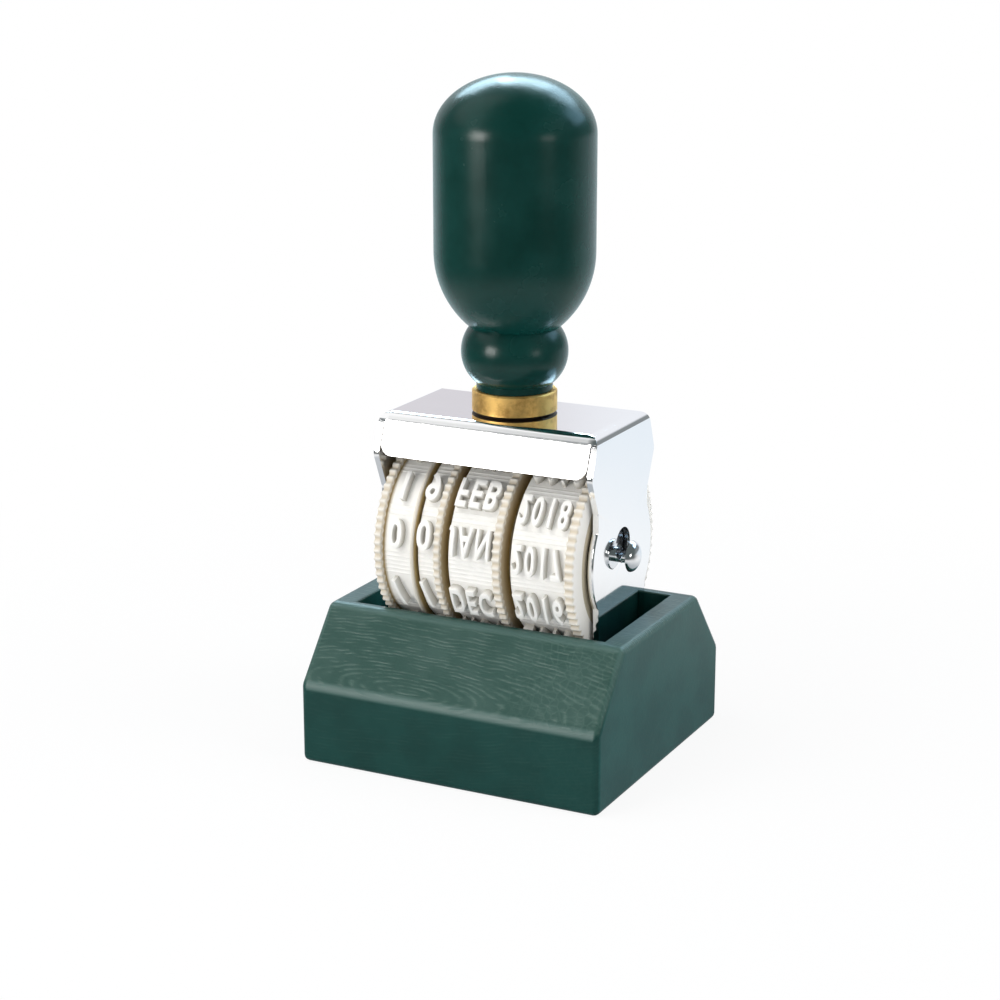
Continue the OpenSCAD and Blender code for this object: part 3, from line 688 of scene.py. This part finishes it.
FIRST_YEAR = 2013
FRONT_YEAR = 2017
# A wheel's first is the angle of its first row in degrees, and side_shade the painted shade on its right
# face.
WHEELS = {
    "day_tens": {"rim": ("left", 0.0011), "wall": 0.0004, "first": 12, "type_width": 0.0020, "side_shade": 0.8,
                 "rows": list("0123-/0123-/")},
    "day_units": {"rim": ("right", 0.0010), "wall": 0, "first": 13.5, "type_width": 0.0020, "side_shade": 0.8,
                  "rows": list("0987654321-/")},
    "month": {"rim": ("right", 0.0012), "wall": 0, "first": 12.5, "type_width": 0.0060, "side_shade": 0.7,
              "rows": "JAN FEB MAR APR MAY JUN JUL AUG SEP OCT NOV DEC".split()},
    "year": {"rim": ("right", 0.0013), "wall": 0,
             "first": 7 - (FRONT_YEAR - FIRST_YEAR) * math.degrees(ROW_PITCH),
             "type_width": 0.0071, "side_shade": 0.06,
             "rows": [str(FIRST_YEAR + k) for k in range(ROW_COUNT)]},
}
IVORY = ((0.90, 0.885, 0.84, 1), (0.94, 0.93, 0.90, 1))
# Painted shade: the tan that darkens the rubber where it lies deep. Small shares of it give the rims their
# cream tint.
TAN_AND_SHADE = (0.46, 0.32, 0.11, 1)
SHADE = (0.36, 0.33, 0.27, 1)
# Shares of the tan: a cream tint on tooth crests and the wall, painted shade in notches, at feet, in grooves
# and on side faces.
TAN_TOOTH = 0.2
NOTCH_SHADE = 0.32
CREST_EDGE_SHADE = 0.4
TAN_WALL = 0.3
WALL_FOOT_SHADE = 0.3
RIM_FOOT_SHADE = 0.25
GROOVE_SHADE = 0.95
LEFT_RIM_SHADE = 0.5
LEFT_FACE_SHADE = 0.7
LEFT_EDGE_SHADE = 0.15

rubber, tree, shader = new_material("type_rubber", Roughness=0.55, Specular_IOR_Level=0.3)
speckle = noise(tree, object_place(tree), scale=700, detail=3)
# Painted shade: the rubber turns tan by the share kept at its vertices.
tinted_and_shaded = mix_colours(tree, attribute(tree, "depth"), mix_colours(tree, speckle, *IVORY), TAN_AND_SHADE)
tree.links.new(mix_colours(tree, attribute(tree, "shaded"), tinted_and_shaded, SHADE), shader.inputs["Base Color"])
bump(tree, shader, speckle, strength=0.2, distance=0.00005)


def tooth(angle):
    """Height of the rounded teeth at an angle round the rim, from 0 to 1."""
    return 0.5 + 0.5 * math.cos(angle * TOOTH_COUNT)


def mould_lines(first_row):
    """A function of the angle that gives the height of the fine lines between rows."""
    between = [(first_row + (row + 0.5) * ROW_PITCH, LINES_BETWEEN) for row in range(ROW_COUNT - 1)]
    joint = first_row - (2 * math.pi - (ROW_COUNT - 1) * ROW_PITCH) / 2
    between.append((joint, LINES_AT_JOINT))
    lines = [middle + side * MOULD_LINE_STEP / BAND_R for middle, sides in between for side in sides]

    def height(angle):
        nearest = min(abs((angle - line + math.pi) % (2 * math.pi) - math.pi) for line in lines)
        return MOULD_LINE_H * max(0.0, 1 - nearest * BAND_R / MOULD_LINE_HALF)
    return height


def band_shape(low_x, high_x, wheel):
    """The ring of a band, grown loop by loop along the axle from its left face to its right."""
    lines = mould_lines(math.radians(wheel["first"]))
    side, rim_width = wheel["rim"]
    face_shade = wheel["side_shade"]

    def surface(angle):
        return BAND_R + lines(angle)

    def toothed(drop):
        deep = TOOTH_H + TOOTH_NOTCH * drop / ROUNDED
        return lambda angle: RIM_R - drop - deep * (1 - tooth(angle))

    def plain(value):
        return lambda angle: value

    # Cream tint on the teeth, with painted shade in the notches between them.
    def tooth_tint_and_shade(angle):
        return TAN_TOOTH + NOTCH_SHADE * (1 - tooth(angle))

    def raised(start, end, crest):
        crest_tint_and_shade = tooth_tint_and_shade if crest is toothed else plain(TAN_WALL)
        return [(start, crest(ROUNDED), crest_tint_and_shade), (start + ROUNDED, crest(0), crest_tint_and_shade),
                (end - ROUNDED, crest(0), crest_tint_and_shade), (end, crest(ROUNDED), plain(face_shade * CREST_EDGE_SHADE))]

    if side == "left":
        edge = low_x + rim_width
        stations = [(low_x, plain(RIM_R - TOOTH_H - LEFT_RIM_DROP), plain(LEFT_RIM_SHADE))]
        stations += raised(low_x, edge, toothed)
        stations += [(edge, surface, plain(GROOVE_SHADE)), (edge + GROOVE_FADE, surface, plain(0.0))]
    else:
        stations = [(low_x, plain(BAND_R - EDGE_DROP), plain(LEFT_FACE_SHADE)),
                    (low_x, plain(BAND_R - ROUNDED), plain(LEFT_EDGE_SHADE)),
                    (low_x + ROUNDED, surface, plain(0.0))]
    if wheel["wall"]:
        edge = high_x - wheel["wall"]
        stations += [(edge - FOOT_FADE, surface, plain(0.0)), (edge, surface, plain(WALL_FOOT_SHADE))]
        stations += raised(edge, high_x, lambda drop: plain(RIM_R - drop))
        stations += [(high_x, plain(RIM_R - WALL_DROP), plain(GROOVE_SHADE))]
    if side == "right":
        edge = high_x - rim_width
        stations += [(edge - FOOT_FADE, surface, plain(0.0)), (edge, surface, plain(RIM_FOOT_SHADE))]
        stations += raised(edge, high_x, toothed)
        stations += [(high_x, plain(RIM_R - TOOTH_H - RIGHT_RIM_DROP), plain(face_shade))]
    # Painted shade: full in the bore, and on the right face by the wheel's share.
    stations += [(high_x, plain(BAND_BORE), plain(min(1.0, 2 * face_shade))), (low_x, plain(BAND_BORE), plain(1.0))]
    shape = bmesh.new()
    depth = shape.verts.layers.float.new("depth")
    bore_end = Matrix.Translation((low_x, 0, AXLE_Z)) @ Matrix.Rotation(math.pi / 2, 4, "Y")
    bmesh.ops.create_circle(shape, segments=BAND_STEPS, radius=BAND_BORE, matrix=bore_end)
    for vert in shape.verts:
        vert[depth] = 1.0
    front = shape.edges[:]
    for x, radius, share in stations:
        grown = bmesh.ops.extrude_edge_only(shape, edges=front)["geom"]
        front = [edge for edge in only(bmesh.types.BMEdge, grown) if edge.is_boundary]
        for vert in only(bmesh.types.BMVert, grown):
            angle = math.atan2(vert.co.z - AXLE_Z, -vert.co.y)
            reach = radius(angle)
            vert.co = (x, -reach * math.cos(angle), AXLE_Z + reach * math.sin(angle))
            vert[depth] = share(angle)
    bmesh.ops.remove_doubles(shape, verts=shape.verts, dist=SAME_PLACE)
    bmesh.ops.recalc_face_normals(shape, faces=shape.faces)
    return shape


for name, wheel in WHEELS.items():
    low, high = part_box(name + "_band")
    add_piece(name + "_rubber", band_shape(low.x, high.x, wheel), name + "_wheel", rubber,
              [name + "_band"])


# Date type: narrow letters and figures raised from the bands, flipped top to bottom so that
# they print the right way round, with eased edges and steep sides.
TYPE_R = 0.0135
TYPE_H = 0.0042
TYPE_ROOT = 0.0003
TYPE_EASED = 0.00006
TYPE_GAP = 0.0005
TYPE_MARGIN = 0.0003
TYPE_WIDEST = 0.78
TYPE_BOLDER = 0.027
TYPE_BENDS = 8
TYPE_CREST = 0.1
SLAB_HALF = 0.5
SLAB_SAME_PLACE = 1e-5
SLAB_STRAIGHT = math.radians(1)


def glyph_shape(sign):
    """One letter as a flat slab, as large as the font makes it."""
    text = bpy.data.curves.new("sign", "FONT")
    text.body = sign
    text.extrude = SLAB_HALF
    text.offset = TYPE_BOLDER
    text.resolution_u = 5
    holder = bpy.data.objects.new("sign", text)
    mesh = bpy.data.meshes.new_from_object(holder)
    shape = bmesh.new()
    shape.from_mesh(mesh)
    bpy.data.objects.remove(holder)
    bpy.data.curves.remove(text)
    bpy.data.meshes.remove(mesh)
    bmesh.ops.remove_doubles(shape, verts=shape.verts, dist=SLAB_SAME_PLACE)
    bmesh.ops.dissolve_limit(shape, angle_limit=SLAB_STRAIGHT, verts=shape.verts, edges=shape.edges)
    return shape


def extent(shape, axis):
    """Lowest and highest coordinate of a shape along an axis."""
    places = [vert.co[axis] for vert in shape.verts]
    return min(places), max(places)


def add_sign(target, sign, cap, width_share, at_x, at_angle):
    """Adds one letter to a wheel's type, scaled to the type's height and bent round the wheel."""
    shape = glyph_shape(sign)
    low_y, high_y = cap if sign == "-" else extent(shape, 1)
    low_x, high_x = extent(shape, 0)
    rise = TYPE_H / (high_y - low_y)
    widen = TYPE_H / (cap[1] - cap[0]) * width_share
    deep = TYPE_R - BAND_R + TYPE_ROOT
    for vert in shape.verts:
        vert.co.x = (vert.co.x - (low_x + high_x) / 2) * widen
        vert.co.y = (vert.co.y - (low_y + high_y) / 2) * rise
        vert.co.z = (vert.co.z - SLAB_HALF) * deep
    shape.normal_update()
    crest = [edge for edge in shape.edges if edge.calc_face_angle(0) > SHARP_EDGE
             and all(vert.co.z > -deep * TYPE_CREST for vert in edge.verts)]
    bevel_edges(shape, crest, TYPE_EASED, segments=2)
    for k in range(1, TYPE_BENDS):
        bmesh.ops.bisect_plane(shape, geom=shape.verts[:] + shape.edges[:] + shape.faces[:],
                               plane_co=(0, TYPE_H * (k / TYPE_BENDS - 0.5), 0), plane_no=(0, 1, 0))
    shaded = shape.verts.layers.float.new("shaded")
    for vert in shape.verts:
        vert[shaded] = min(1.0, max(0.0, -vert.co.z / (TYPE_R - BAND_R)))
        reach = TYPE_R + vert.co.z
        angle = at_angle - vert.co.y / TYPE_R
        vert.co = (at_x + vert.co.x, -reach * math.cos(angle), AXLE_Z + reach * math.sin(angle))
    bmesh.ops.recalc_face_normals(shape, faces=shape.faces)
    mesh = bpy.data.meshes.new("sign")
    shape.to_mesh(mesh)
    shape.free()
    target.from_mesh(mesh)
    bpy.data.meshes.remove(mesh)


def sign_width(sign, cap):
    """Width of a letter at the type's height."""
    shape = glyph_shape(sign)
    low_x, high_x = extent(shape, 0)
    shape.free()
    return (high_x - low_x) * TYPE_H / (cap[1] - cap[0])


zero = glyph_shape("0")
cap_span = extent(zero, 1)
zero.free()
for name, wheel in WHEELS.items():
    low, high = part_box(name + "_band")
    side, rim_width = wheel["rim"]
    room_for = wheel["type_width"]
    if side == "left":
        middle_x = (low.x + rim_width + high.x - wheel["wall"]) / 2
    else:
        middle_x = high.x - rim_width - TYPE_MARGIN - room_for / 2
    shape = bmesh.new()
    shape.verts.layers.float.new("shaded")
    for row, word in enumerate(wheel["rows"]):
        angle = math.radians(wheel["first"]) + row * ROW_PITCH
        widths = [sign_width("0" if sign.isdigit() else sign, cap_span) for sign in word]
        gaps = TYPE_GAP * (len(word) - 1)
        share = min(TYPE_WIDEST, (room_for - gaps) / sum(widths))
        at_x = middle_x - (sum(widths) * share + gaps) / 2
        for sign, width in zip(word, widths):
            add_sign(shape, sign, cap_span, share, at_x + width * share / 2, angle)
            at_x += width * share + TYPE_GAP
    add_piece(name + "_type", shape, name + "_wheel", rubber)


# Ferrule: a short brass ring cut from tube, slightly tarnished, with turned edges and painted shade
# on the chamfer at its foot, where it meets the frame. It holds the handle's tenon and stands on the frame.
FERRULE_LOW, FERRULE_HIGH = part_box("ferrule")
FERRULE_WALL = 0.0007
FERRULE_CHAMFER = 0.0002
FERRULE_FOOT = 0.0003
FOOT_SHADE_FADE = 0.00005
FOOT_SHADE_SLACK = 0.00001
BRASS = ((0.84, 0.54, 0.17, 1), (0.52, 0.30, 0.085, 1))
BRASS_ROUGHNESS = (0.36, 0.6)
TARNISH_RANGE = (0.42, 0.68)
# Painted shade on the chamfer at the ferrule's foot.
FOOT_SHADE = (0.035, 0.022, 0.012, 1)

brass, tree, shader = new_material("tarnished_brass", Metallic=0.85)
tarnish = noise(tree, object_place(tree), scale=420, detail=5, roughness=0.65)
worn_brass = mix_colours(tree, map_range(tree, tarnish, *TARNISH_RANGE), *BRASS)
# Painted shade: the foot's chamfer turns dark.
tree.links.new(mix_colours(tree, attribute(tree, "foot_shade"), worn_brass, FOOT_SHADE), shader.inputs["Base Color"])
tree.links.new(map_range(tree, tarnish, 0, 1, *BRASS_ROUGHNESS), shader.inputs["Roughness"])

ferrule_r, ferrule_low, ferrule_top = FERRULE_HIGH.x, FERRULE_LOW.z, FERRULE_HIGH.z
inner = ferrule_r - FERRULE_WALL
foot_rise = ferrule_low + FERRULE_FOOT
profile = [(inner, ferrule_low), (ferrule_r - FERRULE_FOOT, ferrule_low), (ferrule_r, foot_rise),
           (ferrule_r, foot_rise + FOOT_SHADE_FADE), (ferrule_r, ferrule_top - FERRULE_CHAMFER),
           (ferrule_r - FERRULE_CHAMFER, ferrule_top), (inner, ferrule_top), (inner, ferrule_low)]
shape = turned(profile)
# Marks the foot's chamfer for painted shade.
foot_shade = shape.verts.layers.float.new("foot_shade")
for vert in shape.verts:
    vert[foot_shade] = float(vert.co.z < foot_rise + FOOT_SHADE_SLACK)
add_piece("brass_ferrule", shape, "stamp", brass, ["ferrule"])


# Handle: turned from one piece of wood with a tenon for the ferrule, a bead, a neck, a
# straight barrel and a domed end, and painted with several glossy coats.
HANDLE_LOW, HANDLE_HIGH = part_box("handle")
TENON_R = 0.00495
FOOT_R = 0.0051
FOOT_H = 0.0009
FOOT_CLEAR = 0.0001
BEAD_R = 0.00715
BEAD_ROUND = 0.0054
NECK_R = 0.006
BARREL_R = 0.0107
SHOULDER_ROUND = 0.013
DOME_H = 0.0078
COAT = ((0.0008, 0.025, 0.020, 1), (0.0022, 0.040, 0.033, 1))
COAT_RANGE = (0.2, 0.8)
COAT_ROUGHNESS = (0.20, 0.30)
COAT_SHEEN = (0.12, 1, 0.92, 1)
HANDLE_HEARTWOOD_AT = (0.004, 0.003, 0)
HANDLE_GRAIN_SPACING = 0.0011
HANDLE_GRAIN_WAVER = 0.001

handle_paint, tree, shader = new_material("handle_paint", Specular_IOR_Level=0.27, Sheen_Weight=0.12,
                                          Sheen_Roughness=0.4, Sheen_Tint=COAT_SHEEN)
lengthways = add_node(tree, "ShaderNodeMapping", {"Vector": object_place(tree),
                                                  "Location": HANDLE_HEARTWOOD_AT,
                                                  "Rotation": (0, math.pi / 2, 0)}, vector_type="TEXTURE")
grained = add_node(tree, "ShaderNodeGroup", {"Vector": lengthways.outputs[0], "Spacing": HANDLE_GRAIN_SPACING,
                                             "Waver": HANDLE_GRAIN_WAVER}, node_tree=grain).outputs
tree.links.new(mix_colours(tree, map_range(tree, grained["Patches"], *COAT_RANGE), *COAT),
               shader.inputs["Base Color"])
tree.links.new(map_range(tree, grained["Patches"], *COAT_RANGE, *COAT_ROUGHNESS), shader.inputs["Roughness"])
bump(tree, shader, grained["Lines"], strength=0.12, distance=0.00005)

foot_top = ferrule_top + FOOT_H
bead_low = math.acos((BEAD_ROUND - BEAD_R + FOOT_R) / BEAD_ROUND)
bead_high = math.acos((BEAD_ROUND - BEAD_R + NECK_R) / BEAD_ROUND)
bead_z = foot_top + BEAD_ROUND * math.sin(bead_low)
neck_z = bead_z + BEAD_ROUND * math.sin(bead_high)
shoulder = math.acos((SHOULDER_ROUND - BARREL_R + NECK_R) / SHOULDER_ROUND)
barrel_z = neck_z + SHOULDER_ROUND * math.sin(shoulder)
dome_z = HANDLE_HIGH.z - DOME_H
profile = [(0, HANDLE_LOW.z), (TENON_R, HANDLE_LOW.z), (TENON_R, ferrule_top),
           (FOOT_R, ferrule_top + FOOT_CLEAR)]
profile += arc_points((BEAD_R - BEAD_ROUND, bead_z), (BEAD_ROUND, BEAD_ROUND), -bead_low, bead_high, steps=20)
profile += arc_points((BARREL_R - SHOULDER_ROUND, barrel_z), (SHOULDER_ROUND, SHOULDER_ROUND), -shoulder, 0,
                      steps=20)
profile += arc_points((0, dome_z), (BARREL_R, DOME_H), 0, math.pi / 2, steps=28)
add_piece("turned_handle", turned(profile), "stamp", handle_paint, ["handle"])
